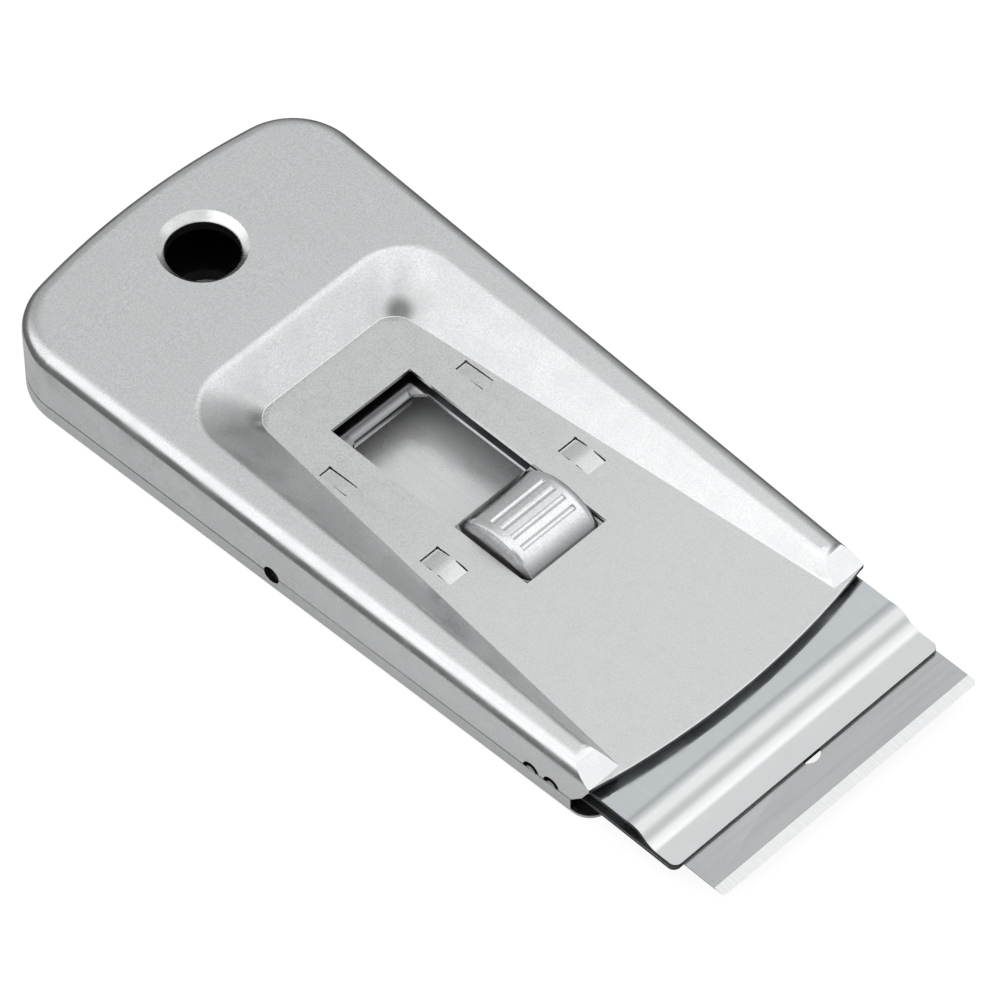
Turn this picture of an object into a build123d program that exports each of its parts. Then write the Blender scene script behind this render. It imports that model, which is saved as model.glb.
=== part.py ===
from build123d import *
import os
from math import atan2, cos, hypot, radians, sin, sqrt, tan

# Ceramic hob scraper of pressed steel sheet, blade pushed out
# +Y runs to the rear with the hanging hole, -Y to the blade, +Z is up
# The origin is under the middle of the whole tool, on the face it rests on

# Housing seen from above
housing_length = 95.6
blade_reach = 15.9
overall_length = housing_length + blade_reach
rear_y = overall_length / 2
lip_y = rear_y - housing_length
lip_bow = 2.5
rear_bow = 3.1
front_half_width = 21.6
rear_half_width = 24.1
corner_radius = 8.8
lip_corner_y = lip_y + lip_bow
rear_corner_y = rear_y - rear_bow

# Top cover
cover_sheet = 0.5
top_height_front = 8.85
top_height_rear = 11.35
top_rounding = 2.2
seam_height = 2.55
form_margin = 5.0

# Sunk panel of the cover and the slopes round it
panel_height = 6.7
panel_rear_half_width = 11.0
panel_front_half_width = 16.9
panel_corner_radius = 3.0
slope_rear_run = 5.0
slope_half_width = 18.5
slope_corner_radius = 7.0
slope_rounding = 1.6
lip_facet_length = 3.4
slope_mean_angle = radians(31)

# Leg of the bevel that touches a rounding of radius 1 at its middle
bevel_for_rounding = 2 - sqrt(2)

# Window for the thumb
window_half_width = 6.22
window_front_y = -13.1
window_side_gap = 0.42
window_end_gap = 0.1

# Travel that draws the edge of the blade in behind the lip's corners
edge_cover = 0.6
travel = blade_reach + lip_bow + edge_cover

# Lanced marks beside the window
mark_spacing = 16.5
mark_drop = 0.35
mark_slit = 0.12
stop_mark_inner_x = 9.4
stop_mark_width = 2.9
stop_mark_length = 4.9
stop_mark_setback = 0.95
stop_mark_knot = 1.0
catch_mark_inner_x = 9.8
catch_mark_width = 1.8
catch_mark_length = 4.4

# Hanging hole through both shells
hole_radius = 4.35
hole_inset = 11.15
hole_to_slope = 14.3
hole_flare = 1.0
hole_collar_depth = 2.2
pan_collar_height = 1.2

# Base pan
pan_sheet = 0.5
pan_bottom_bevel = 0.5
lap_gap = 0.05
lap_height = 0.9
pan_front_corner_radius = 2.7
pan_front_height = 0.9
front_cut_length = 2.5

# Notches in the cover's lower edge, counted back from the lip's corners
notch_radius = 1.15
crimp_setbacks = (5.35, 8.35)
open_notch_setback = 47.55
crimp_radius = 0.7
lap_notch_margin = 0.5

# Blade carrier
carrier_sheet = 0.5
carrier_height = 5.2
carrier_side_margin = 0.8
holder_setback = 5.95
strip_height = 3.7
strip_length = 2.8
step_run = 3.8
crest_rise = 0.1
crest_run = 1.1
strip_corner_radius = 0.9
neck_setback = 1.95
carrier_end_gap = 0.55
runner_setback = 2.0
runner_side_gap = 0.42
runner_gap = 0.05
runner_bend_radius = 1.0
opening_half_width = 5.9
opening_setback = 0.15
opening_chamfer = 1.1
crossbar_width = 4.5
curl_radius = 1.15
curl_turn = 150.0
curl_half_width = 4.6

# Blade
blade_width = 40.0
blade_depth = 22.0
blade_sheet = 0.25
blade_edge = 0.04
bevel_length = 1.4
blade_shift = 0.5
blade_hole_radius = 1.6
blade_hole_inset = 6.8
blade_corner_cut = 0.4

# Clamp plate under the blade, with its peg and rivets
clamp_sheet = 0.4
clamp_setback = 0.2
clamp_tab_half_width = 12.0
clamp_shoulder = 0.4
clamp_step_gap = 0.75
clamp_step_run = 2.8
clamp_tab_length = 6.8
clamp_rivet_x = 8.0
clamp_rivet_inset = 3.2
rivet_shank_radius = 1.2
rivet_head_radius = 2.0
rivet_head_height = 0.5
peg_gap = 0.05
peg_stand = 0.5

# Thumb button
button_sheet = 0.5
button_length = 11.65
button_crown_height = 9.2
button_shoulder_height = 6.1
button_rounding = 1.3
button_flange_height = 6.0
button_travel = 0.45
flange_half_width = 9.1
flange_front_length = 2.1
flange_sheet = 0.3
groove_count = 4
groove_pitch = 1.6
groove_first_inset = 4.15
groove_radius = 0.45
groove_depth = 0.22
groove_half_length = 4.1

# Guide tabs of the button and their slots in the carrier
tab_x = 8.2
tab_width = 3.0
tab_bottom = 3.9
tab_gap = 0.1

# Leaf spring under the button
spring_sheet = 0.25
spring_width = 4.0
spring_end_inset = 1.1
spring_foot_length = 1.9
spring_rest_gap = 0.05
spring_rivet_radius = 0.5
spring_rivet_head_radius = 0.8
spring_rivet_head_height = 0.25

# Heights that follow from the stack
top_slope = (top_height_rear - top_height_front) / (rear_y - lip_corner_y)
blade_top = strip_height - carrier_sheet
clamp_top = blade_top - blade_sheet
carrier_under = carrier_height - carrier_sheet

# Places counted from the blade's edge backwards
blade_front_y = lip_y - blade_reach
blade_rear_y = blade_front_y + blade_depth
holder_front_y = blade_front_y + holder_setback
step_front_y = holder_front_y + strip_length
step_rear_y = step_front_y + step_run
clamp_step_front_y = blade_rear_y + clamp_step_gap
clamp_step_rear_y = clamp_step_front_y + clamp_step_run
clamp_rear_y = clamp_step_rear_y + clamp_tab_length
clamp_rivet_y = clamp_rear_y - clamp_rivet_inset
neck_y = blade_rear_y + neck_setback
runner_front_y = neck_y + runner_setback

# Places counted from the front of the window
button_front_y = window_front_y + window_end_gap
button_rear_y = button_front_y + button_length
button_middle_y = (button_front_y + button_rear_y) / 2
flange_front_y = button_front_y - flange_front_length
window_rear_y = button_rear_y + travel + window_end_gap
stop_mark_rear_y = button_rear_y - stop_mark_setback
catch_mark_rear_y = stop_mark_rear_y + mark_spacing
spring_front_y = button_front_y + spring_end_inset
spring_rear_y = button_rear_y - spring_end_inset
opening_front_y = button_rear_y - opening_setback

# Places counted from the rear end forwards
hole_y = rear_y - hole_inset
slope_rear_y = hole_y - hole_to_slope
panel_rear_y = slope_rear_y - slope_rear_run
carrier_rear_y = hole_y - hole_radius - pan_sheet - travel - carrier_end_gap
opening_rear_y = carrier_rear_y - crossbar_width


def top_height(y):
    """Height of the cover's outer top surface at y."""
    return top_height_front + top_slope * (y - lip_corner_y)


def half_width(y):
    """Half width of the housing at y."""
    return front_half_width + (rear_half_width - front_half_width) * (y - lip_corner_y) / (rear_corner_y - lip_corner_y)


# Widths that follow from the blade, the window and the room in the pan
carrier_half_width = blade_width / 2 + carrier_side_margin
button_half_width = window_half_width - window_side_gap
pan_wall = cover_sheet + lap_gap + pan_sheet
narrowest = min(half_width(runner_front_y), half_width(carrier_rear_y + travel))
runner_half_width = narrowest - pan_wall - runner_side_gap


def housing_outline(inset=0.0, forward=0.0, front_corner=0.0):
    """Face of the housing's plan, moved in by inset and its lip moved forward."""
    side_front_y = lip_corner_y - forward
    front_x = half_width(side_front_y) - inset
    rear_x = rear_half_width - inset
    side_rear_y = rear_corner_y - inset
    left = Line((-front_x, side_front_y), (-rear_x, side_rear_y))
    rear = ThreePointArc((-rear_x, side_rear_y), (0, rear_y - inset), (rear_x, side_rear_y))
    right = Line((rear_x, side_rear_y), (front_x, side_front_y))
    lip = ThreePointArc((front_x, side_front_y), (0, lip_y - forward), (-front_x, side_front_y))
    face = make_face(Curve() + [left, rear, right, lip])
    if front_corner:
        face = fillet(face.vertices().sort_by(Axis.Y)[:2], front_corner)
    corners = face.vertices().sort_by(Axis.Y)[-2:]
    return fillet(corners, corner_radius - inset)


def side_prism(points, half_span=blade_width):
    """Prism across the tool from a closed side profile of (y, z) points."""
    profile = make_face(Polyline(*points, close=True))
    return extrude(Plane.YZ * profile, amount=half_span, both=True)


def recess_tool(inset):
    """Tool that sinks the panel and cuts the slopes round it."""
    outset = inset * tan(slope_mean_angle / 2)
    front_y = lip_y - form_margin - 3
    taper = (panel_front_half_width - panel_rear_half_width) / (panel_rear_y - lip_corner_y)
    wide = panel_front_half_width + taper * (lip_corner_y - front_y) + outset
    narrow = panel_rear_half_width + outset
    low_rear = panel_rear_y + outset
    low = make_face(Polyline((-wide, front_y), (-narrow, low_rear), (narrow, low_rear), (wide, front_y), close=True))
    low = fillet(low.vertices().sort_by(Axis.Y)[-2:], panel_corner_radius)
    over = slope_half_width + outset
    high_rear = slope_rear_y + outset
    high = make_face(Polyline((-over, front_y), (-over, high_rear), (over, high_rear), (over, front_y), close=True))
    high = fillet(high.vertices().sort_by(Axis.Y)[-2:], slope_corner_radius)
    top_plane = Plane(origin=(0, 0, top_height(0) - inset), x_dir=(1, 0, 0), z_dir=(0, -top_slope, 1))
    low_plane = Plane.XY.offset(panel_height - inset)
    slopes = loft([low_plane * low, top_plane * high], ruled=True)
    return slopes


def cover_form(inset):
    """Solid under the cover's outer surface when it is moved in by inset."""
    below = seam_height - (1.0 if inset else 0.0)
    plan = extrude(Plane.XY.offset(below) * housing_outline(inset, form_margin), amount=top_height_rear + 5)
    front, back = lip_y - form_margin - 5, rear_y + 5
    crown = side_prism([(front, 0), (back, 0), (back, top_height(back) - inset), (front, top_height(front) - inset)])
    form = plan & crown
    top_face = form.faces().sort_by(Axis.Z)[-1]
    rim = top_face.edges().filter_by(lambda e: e.center().Y > lip_y - form_margin + 2)
    if inset:
        form = chamfer(rim, (top_rounding - inset) * bevel_for_rounding)
    else:
        form = fillet(rim, top_rounding)
    form = form - recess_tool(inset)
    brim = [e for e in form.edges() if on_top_plane(e, inset) and inside_slopes(e)]
    form = fillet(brim, slope_rounding - inset)
    facet = [
        (lip_corner_y - 12, panel_height - inset),
        (lip_corner_y - 0.2, panel_height - inset),
        (lip_corner_y + lip_facet_length, top_height(lip_corner_y + lip_facet_length) + 0.05 - inset),
        (lip_corner_y + lip_facet_length, top_height_rear + 5),
        (lip_corner_y - 12, top_height_rear + 5),
    ]
    return form - side_prism(facet)


def on_top_plane(edge, inset):
    """True where both ends and the middle of the edge lie in the top surface."""
    points = [edge.position_at(0), edge.position_at(0.5), edge.position_at(1)]
    return all(abs(p.Z - top_height(p.Y) + inset) < 0.01 for p in points)


def inside_slopes(edge):
    """True for the edges where the slopes meet the top surface."""
    middle = edge.center()
    return abs(middle.X) < slope_half_width + 0.6 and lip_y < middle.Y < slope_rear_y + 1.0


def mark_hole(inner_x, width, length, rear_mark_y):
    """Slot through the panel where one mark is pressed down."""
    centre = (inner_x + width / 2, rear_mark_y - length / 2, panel_height - cover_sheet / 2)
    return Pos(*centre) * Box(width, length, cover_sheet + 0.2)


def stop_mark():
    """Front mark: two tongues pressed down from a knot in the middle."""
    middle_y = stop_mark_rear_y - stop_mark_length / 2
    top, low = panel_height, panel_height - mark_drop
    ends = (stop_mark_rear_y - stop_mark_length, stop_mark_rear_y - mark_slit)
    saddle = [
        (ends[0], low),
        (middle_y - stop_mark_knot / 2, top),
        (middle_y + stop_mark_knot / 2, top),
        (ends[1], low),
        (ends[1], low - cover_sheet),
        (middle_y + stop_mark_knot / 2, top - cover_sheet),
        (middle_y - stop_mark_knot / 2, top - cover_sheet),
        (ends[0], low - cover_sheet),
    ]
    tongues = side_prism(saddle, (stop_mark_width - 2 * mark_slit) / 2)
    knot = Pos(0, middle_y, top - cover_sheet / 2) * Box(stop_mark_width, stop_mark_knot, cover_sheet)
    return Pos(stop_mark_inner_x + stop_mark_width / 2, 0, 0) * (tongues + knot)


def catch_mark():
    """Rear mark: one tongue hinged at its front and pressed down at its rear."""
    top, low = panel_height, panel_height - mark_drop
    hinge_y = catch_mark_rear_y - catch_mark_length
    free_y = catch_mark_rear_y - mark_slit
    tongue = [(hinge_y, top), (free_y, low), (free_y, low - cover_sheet), (hinge_y, top - cover_sheet)]
    shape = side_prism(tongue, (catch_mark_width - 2 * mark_slit) / 2)
    return Pos(catch_mark_inner_x + catch_mark_width / 2, 0, 0) * shape


def with_marks(cover):
    """Cover with both pairs of lanced marks in its panel."""
    holes = mark_hole(stop_mark_inner_x, stop_mark_width, stop_mark_length, stop_mark_rear_y)
    holes += mark_hole(catch_mark_inner_x, catch_mark_width, catch_mark_length, catch_mark_rear_y)
    tongues = stop_mark() + catch_mark()
    for side in (0, 1):
        cut, fill = (holes, tongues) if side == 0 else (mirror(holes, Plane.YZ), mirror(tongues, Plane.YZ))
        cover = cover - cut + fill
    return cover


def circles_hole(edge, radius):
    """True for an edge that runs round the hanging hole's axis at this radius."""
    points = [edge.position_at(part) for part in (0, 0.3, 0.6)]
    return all(abs(hypot(p.X, p.Y - hole_y) - radius) < 0.02 for p in points)


def with_cover_collar(cover):
    """Cover with the hanging hole drawn down into a collar with a conical mouth."""
    top = top_height(hole_y)
    outer_radius = hole_radius + cover_sheet
    tube = Cylinder(outer_radius, 2 * hole_collar_depth, align=(Align.CENTER, Align.CENTER, Align.MIN))
    tube = Pos(0, hole_y, top - hole_collar_depth) * tube
    front, back = hole_y - 2 * outer_radius, hole_y + 2 * outer_radius
    mid_sheet = [
        (front, 0),
        (back, 0),
        (back, top_height(back) - cover_sheet / 2),
        (front, top_height(front) - cover_sheet / 2),
    ]
    cover = cover + (tube & side_prism(mid_sheet))
    lowest_root = top - cover_sheet - top_slope * outer_radius - 0.1
    root = [e for e in cover.edges() if circles_hole(e, outer_radius) and e.center().Z > lowest_root]
    cover = chamfer(root, hole_flare + cover_sheet * sqrt(2) - 2 * cover_sheet)
    cover = cover - Pos(0, hole_y, top) * Cylinder(hole_radius, 4 * hole_collar_depth)
    lowest_rim = top - top_slope * hole_radius - 0.1
    rim = [e for e in cover.edges() if circles_hole(e, hole_radius) and e.center().Z > lowest_rim]
    return chamfer(rim, hole_flare)


def wall_cut():
    """Prism that slants the front ends of the cover's walls back below the lip."""
    front, back = lip_corner_y - form_margin - 5, lip_corner_y + front_cut_length
    under_panel = panel_height - cover_sheet - 0.1
    knee = (lip_corner_y + front_cut_length / 3, (seam_height + under_panel) / 2)
    return side_prism([(front, 0), (back, 0), (back, seam_height), knee, (lip_corner_y - 0.1, under_panel), (front, under_panel)])


def notch_rod(setback):
    """Rod across the tool that cuts one round notch on both sides."""
    return Pos(0, lip_corner_y + setback, seam_height) * Rot(0, 90, 0) * Cylinder(notch_radius, 4 * rear_half_width)


def make_top_cover():
    cover = cover_form(0.0) - cover_form(cover_sheet)
    cover = cover & extrude(housing_outline(-1.0), amount=top_height_rear + 5)
    cover = cover - wall_cut()
    for setback in (*crimp_setbacks, open_notch_setback):
        cover -= notch_rod(setback)
    window_length = window_rear_y - window_front_y
    window = Pos(0, window_front_y + window_length / 2, panel_height) * Box(2 * window_half_width, window_length, 2)
    cover = with_marks(cover - window)
    return with_cover_collar(cover)


def make_base_pan():
    tray = extrude(housing_outline(front_corner=pan_front_corner_radius), amount=seam_height)
    tray = chamfer(tray.faces().sort_by(Axis.Z)[0].edges(), pan_bottom_bevel)
    inner_corner = pan_front_corner_radius - pan_sheet
    room = extrude(Plane.XY.offset(pan_sheet) * housing_outline(pan_sheet, front_corner=inner_corner), amount=seam_height)
    pan = tray - room
    front_room = Box(
        2 * (front_half_width - pan_front_corner_radius), 4 * lip_bow, seam_height, align=(Align.CENTER, Align.CENTER, Align.MIN)
    )
    pan -= Pos(0, lip_corner_y - lip_bow, pan_sheet) * front_room
    low_end = Box(4 * front_half_width, 2 * front_cut_length, seam_height, align=(Align.CENTER, Align.CENTER, Align.MIN))
    pan -= Pos(0, lip_corner_y, pan_front_height) * low_end
    pan = pan + pan_lap() - notch_rod(open_notch_setback)
    for setback in crimp_setbacks:
        for side in (-1, 1):
            pan += crimp(side, lip_corner_y + setback)
    collar = Pos(0, hole_y, 0) * Cylinder(
        hole_radius + pan_sheet, pan_sheet + pan_collar_height, align=(Align.CENTER, Align.CENTER, Align.MIN)
    )
    pan = pan + collar
    return pan - Pos(0, hole_y, 0) * Cylinder(hole_radius, 10)


def pan_lap():
    """Ledge and raised lap inside the cover's wall, behind the clamp plate's travel."""
    lap_inset = cover_sheet + lap_gap
    ledge_plane = Plane.XY.offset(seam_height - pan_sheet)
    ledge = extrude(ledge_plane * housing_outline(), amount=pan_sheet)
    lap = extrude(ledge_plane * housing_outline(lap_inset), amount=pan_sheet + lap_height)
    band = ledge + lap - extrude(ledge_plane * housing_outline(lap_inset + pan_sheet), amount=seam_height + lap_height)
    lap_front_y = clamp_step_front_y + travel + 1.0
    keep = Box(4 * rear_half_width, overall_length, 4 * seam_height, align=(Align.CENTER, Align.MIN, Align.CENTER))
    band = band & (Pos(0, lap_front_y, seam_height) * keep)
    gap = Box(
        4 * rear_half_width, 2 * (notch_radius + lap_notch_margin), 2 * lap_height, align=(Align.CENTER, Align.CENTER, Align.MIN)
    )
    return band - Pos(0, lip_corner_y + open_notch_setback, seam_height) * gap


def crimp(side, y):
    """Round tongue of the pan's wall that stands in one notch of the cover."""
    disc = Rot(0, 90, 0) * Cylinder(crimp_radius, pan_sheet)
    return Pos(side * (half_width(y) - pan_sheet / 2), y, seam_height - crimp_radius / 4) * disc


def stepped_path(*knots):
    """Side line through (y, z) knots: flat between equal heights, else an S of two equal arcs."""
    pieces = []
    for (y0, z0), (y1, z1) in zip(knots, knots[1:]):
        if z0 == z1:
            pieces.append(Line((y0, z0), (y1, z1)))
            continue
        half_turn = atan2(z1 - z0, y1 - y0)
        radius = (y1 - y0) / (2 * sin(2 * half_turn))
        middle = ((y0 + y1) / 2, (z0 + z1) / 2)
        bulge_run, bulge_rise = radius * sin(half_turn), radius * (1 - cos(half_turn))
        pieces.append(ThreePointArc((y0, z0), (y0 + bulge_run, z0 + bulge_rise), middle))
        pieces.append(ThreePointArc(middle, (y1 - bulge_run, z1 - bulge_rise), (y1, z1)))
    return Wire(pieces)


def bent_sheet(path, sheet, half_span):
    """Sheet of one thickness below a side line, as wide as twice half_span."""
    profile = make_face(offset(path, amount=sheet, side=Side.RIGHT).edges())
    return extrude(Plane.YZ * profile, amount=half_span, both=True)


def runner(side):
    """Edge of the carrier turned down, which slides on the pan's floor."""
    length = carrier_rear_y - runner_front_y
    bottom = pan_sheet + runner_gap
    outer = runner_half_width
    height = carrier_height - bottom
    blank = Pos(0, runner_front_y + length / 2, bottom) * Box(
        2 * outer, length, height, align=(Align.CENTER, Align.CENTER, Align.MIN)
    )
    bends = blank.edges().filter_by(Axis.Y).sort_by(Axis.Z)[-2:]
    blank = fillet(bends, runner_bend_radius)
    hollow = Pos(0, runner_front_y + length / 2, bottom) * Box(
        2 * (outer - carrier_sheet), length, height - carrier_sheet, align=(Align.CENTER, Align.CENTER, Align.MIN)
    )
    inner_bends = hollow.edges().filter_by(Axis.Y).sort_by(Axis.Z)[-2:]
    hollow = fillet(inner_bends, runner_bend_radius - carrier_sheet)
    shell = blank - hollow
    keep = Pos(side * outer, runner_front_y + length / 2, carrier_height / 2) * Box(4, length + 1, 2 * carrier_height)
    return shell & keep


def crossbar_curl():
    """Front edge of the crossbar rolled down behind the opening."""
    centre_z = carrier_height - curl_radius
    outer = Cylinder(curl_radius, 2 * curl_half_width)
    inner = Cylinder(curl_radius - carrier_sheet, 2 * curl_half_width + 1)
    ring = Pos(0, opening_rear_y + curl_radius, centre_z) * Rot(0, 90, 0) * (outer - inner)
    reach = 3 * curl_radius
    end = radians(90 + curl_turn)
    edge_y = opening_rear_y + curl_radius + reach * cos(end)
    edge_z = centre_z + reach * sin(end)
    sector = [
        (opening_rear_y + curl_radius, centre_z),
        (opening_rear_y + curl_radius, centre_z + reach),
        (opening_rear_y + curl_radius - reach, centre_z + reach),
        (opening_rear_y + curl_radius - reach, edge_z),
        (edge_y, edge_z),
    ]
    return ring & side_prism(sector)


def make_blade_carrier():
    line = stepped_path(
        (holder_front_y, strip_height),
        (step_front_y, strip_height),
        (step_rear_y, carrier_height + crest_rise),
        (step_rear_y + crest_run, carrier_height),
        (carrier_rear_y, carrier_height),
    )
    flat_half_width = runner_half_width - runner_bend_radius
    plate = bent_sheet(line, carrier_sheet, max(carrier_half_width, flat_half_width))
    front_length = neck_y - holder_front_y + 1
    rear_length = carrier_rear_y - neck_y + 1
    room = Box(2 * carrier_half_width, front_length, 3 * carrier_height, align=(Align.CENTER, Align.MAX, Align.CENTER))
    room += Box(2 * flat_half_width, rear_length, 3 * carrier_height, align=(Align.CENTER, Align.MIN, Align.CENTER))
    plate = plate & (Pos(0, neck_y, 0) * room)
    front_corners = plate.edges().filter_by(Axis.Z).sort_by(Axis.Y)[:2]
    plate = fillet(front_corners, strip_corner_radius)
    for side in (-1, 1):
        plate += runner(side)
    opening_length = opening_rear_y - opening_front_y
    opening = Pos(0, opening_front_y + opening_length / 2, carrier_height) * Box(2 * opening_half_width, opening_length, 3)
    rear_corners = opening.edges().filter_by(Axis.Z).sort_by(Axis.Y)[-2:]
    plate -= chamfer(rear_corners, opening_chamfer)
    curl_room = Pos(0, opening_rear_y + curl_radius / 2, carrier_height) * Box(2 * curl_half_width, curl_radius, 3)
    plate = plate - curl_room + crossbar_curl()
    for side in (-1, 1):
        slot = Box(button_sheet + 2 * tab_gap, tab_width + 2 * tab_gap, 3)
        plate -= Pos(side * tab_x, button_middle_y, carrier_height) * slot
        plate -= Pos(side * clamp_rivet_x, clamp_rivet_y, carrier_height) * Cylinder(rivet_shank_radius, 3)
    for foot_y in spring_foot_places():
        plate -= Pos(0, foot_y, carrier_height) * Cylinder(spring_rivet_radius, 3)
    return plate


def make_clamp_plate():
    front = holder_front_y + clamp_setback
    line = stepped_path(
        (front, clamp_top),
        (clamp_step_front_y, clamp_top),
        (clamp_step_rear_y, carrier_under),
        (clamp_rear_y, carrier_under),
    )
    plate = bent_sheet(line, clamp_sheet, carrier_half_width)
    plate = fillet(plate.edges().filter_by(Axis.Z).sort_by(Axis.Y)[:2], strip_corner_radius)
    shoulder_y = clamp_step_front_y - clamp_shoulder
    for side in (-1, 1):
        side_align = Align.MIN if side > 0 else Align.MAX
        corner = Box(blade_width, blade_depth, 2 * carrier_height, align=(side_align, Align.MIN, Align.CENTER))
        plate -= Pos(side * clamp_tab_half_width, shoulder_y, clamp_top) * corner
        plate -= Pos(side * clamp_rivet_x, clamp_rivet_y, carrier_under) * Cylinder(rivet_shank_radius, 3)
    peg_radius = blade_hole_radius - blade_shift - peg_gap
    plate -= Pos(0, blade_rear_y - blade_hole_inset, clamp_top) * Cylinder(peg_radius, 3)
    return plate


def make_clamp_rivets():
    """Two rivets with a flat head on each side of the carrier and clamp plate."""
    stack = carrier_sheet + clamp_sheet
    base_z = carrier_height - stack
    rivets = []
    for side in (-1, 1):
        shank = Pos(0, 0, base_z) * Cylinder(rivet_shank_radius, stack, align=(Align.CENTER, Align.CENTER, Align.MIN))
        rivet = shank
        for z in (base_z - rivet_head_height / 2, carrier_height + rivet_head_height / 2):
            rivet += Pos(0, 0, z) * Cylinder(rivet_head_radius, rivet_head_height)
        rivets.append(Pos(side * clamp_rivet_x, clamp_rivet_y, 0) * rivet)
    return Compound(children=rivets)


def make_blade_peg():
    """Peg pressed into the clamp plate, standing in the blade's rear hole."""
    radius = blade_hole_radius - blade_shift - peg_gap
    height = clamp_sheet + blade_sheet + peg_stand
    peg = Cylinder(radius, height, align=(Align.CENTER, Align.CENTER, Align.MIN))
    peg = chamfer(peg.edges().filter_by(GeomType.CIRCLE).sort_by(Axis.Z)[-1], peg_stand / 2)
    return Pos(0, blade_rear_y - blade_hole_inset, clamp_top - clamp_sheet) * peg


def make_blade():
    """Single-edged blade, ground on both faces to a thin edge."""
    middle = clamp_top + blade_sheet / 2
    profile = [
        (blade_front_y, middle - blade_edge / 2),
        (blade_front_y, middle + blade_edge / 2),
        (blade_front_y + bevel_length, blade_top),
        (blade_rear_y, blade_top),
        (blade_rear_y, clamp_top),
        (blade_front_y + bevel_length, clamp_top),
    ]
    blade = side_prism(profile, blade_width / 2)
    corners = blade.edges().filter_by(Axis.Z)
    blade = chamfer(corners, blade_corner_cut)
    for y in (blade_front_y + blade_hole_inset, blade_rear_y - blade_hole_inset):
        blade -= Pos(0, y, middle) * Cylinder(blade_hole_radius, 2)
    return Pos(blade_shift, 0, 0) * blade


def crown_circle():
    """Centre height and radius of the knob's arched side profile."""
    half_length = button_length / 2
    rise = button_crown_height - button_shoulder_height
    radius = (half_length ** 2 + rise ** 2) / (2 * rise)
    return button_crown_height - radius, radius


def dome_form(inset):
    """Solid of the knob when its surface is moved in by inset."""
    front, rear = button_front_y + inset, button_rear_y - inset
    centre_z, radius = crown_circle()
    half_length = (rear - front) / 2
    shoulder = centre_z + sqrt((radius - inset) ** 2 - half_length ** 2)
    foot = button_flange_height - flange_sheet - inset
    crest = (button_middle_y, button_crown_height - inset)
    arch = make_face([
        Line((rear, shoulder), (rear, foot)),
        Line((rear, foot), (front, foot)),
        Line((front, foot), (front, shoulder)),
        ThreePointArc((front, shoulder), crest, (rear, shoulder)),
    ])
    body = extrude(Plane.YZ * arch, amount=button_half_width - inset, both=True)
    rims = [e for e in body.edges() if e.geom_type == GeomType.CIRCLE]
    if inset:
        return chamfer(rims, (button_rounding - inset) * bevel_for_rounding)
    return fillet(rims, button_rounding)


def groove_rods(depth):
    """Rods that press the grip grooves into the crown."""
    centre_z, radius = crown_circle()
    rods = []
    for i in range(groove_count):
        y = button_rear_y - groove_first_inset - i * groove_pitch
        surface = centre_z + sqrt(radius ** 2 - (y - button_middle_y) ** 2)
        rod = Rot(0, 90, 0) * Cylinder(groove_radius, 2 * groove_half_length)
        rods.append(Pos(0, y, surface + groove_radius - depth) * rod)
    return rods


def make_thumb_button():
    dome = dome_form(0.0)
    for rod in groove_rods(groove_depth):
        dome -= rod
    dome -= dome_form(button_sheet)
    flange_length = button_rear_y - flange_front_y
    flange_z = button_flange_height - flange_sheet / 2
    flange = Pos(0, flange_front_y + flange_length / 2, flange_z) * Box(2 * flange_half_width, flange_length, flange_sheet)
    flange = fillet(flange.edges().filter_by(Axis.Z), 1.0)
    room_length = button_length - 2 * button_sheet
    room = Pos(0, button_middle_y, flange_z) * Box(2 * (button_half_width - button_sheet), room_length, 3)
    button = dome + (flange - room)
    for side in (-1, 1):
        tab_height = button_flange_height - tab_bottom
        tab = Box(button_sheet, tab_width, tab_height, align=(Align.CENTER, Align.CENTER, Align.MIN))
        button += Pos(side * tab_x, button_middle_y, tab_bottom) * tab
    return button


def spring_foot_places():
    """Places along the tool of the two rivets of the leaf spring."""
    return (spring_front_y + spring_foot_length / 2, spring_rear_y - spring_foot_length / 2)


def make_button_spring():
    """Leaf with two flat feet on the carrier and a bow under the crown."""
    foot = carrier_height + spring_sheet
    crest = button_crown_height - button_sheet - button_travel - spring_rest_gap
    bow_front = spring_front_y + spring_foot_length
    bow_rear = spring_rear_y - spring_foot_length
    bow = ThreePointArc((bow_front, foot), ((bow_front + bow_rear) / 2, crest), (bow_rear, foot))
    line = Wire([Line((spring_front_y, foot), (bow_front, foot)), bow, Line((bow_rear, foot), (spring_rear_y, foot))])
    leaf = bent_sheet(line, spring_sheet, spring_width / 2)
    for foot_y in spring_foot_places():
        leaf -= Pos(0, foot_y, foot) * Cylinder(spring_rivet_radius, 2)
    return leaf


def make_spring_rivets():
    """Two small rivets through the feet of the leaf and the carrier."""
    stack = carrier_sheet + spring_sheet
    head_height = spring_rivet_head_height
    rivets = []
    for foot_y in spring_foot_places():
        rivet = Pos(0, 0, carrier_under) * Cylinder(
            spring_rivet_radius, stack, align=(Align.CENTER, Align.CENTER, Align.MIN)
        )
        rivet += Pos(0, 0, carrier_under - head_height / 2) * Cylinder(spring_rivet_head_radius, head_height)
        rivet += Pos(0, 0, carrier_under + stack + head_height / 2) * Cylinder(spring_rivet_head_radius, head_height)
        rivets.append(Pos(0, foot_y, 0) * rivet)
    return Compound(children=rivets)


nodes = {
    "top_cover": make_top_cover,
    "base_pan": make_base_pan,
    "blade_carrier": make_blade_carrier,
    "clamp_plate": make_clamp_plate,
    "clamp_rivets": make_clamp_rivets,
    "blade": make_blade,
    "blade_peg": make_blade_peg,
    "thumb_button": make_thumb_button,
    "button_spring": make_button_spring,
    "spring_rivets": make_spring_rivets,
}

os.makedirs("parts", exist_ok=True)
for name, make in nodes.items():
    export_step(make(), f"parts/{name}.step")
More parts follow.
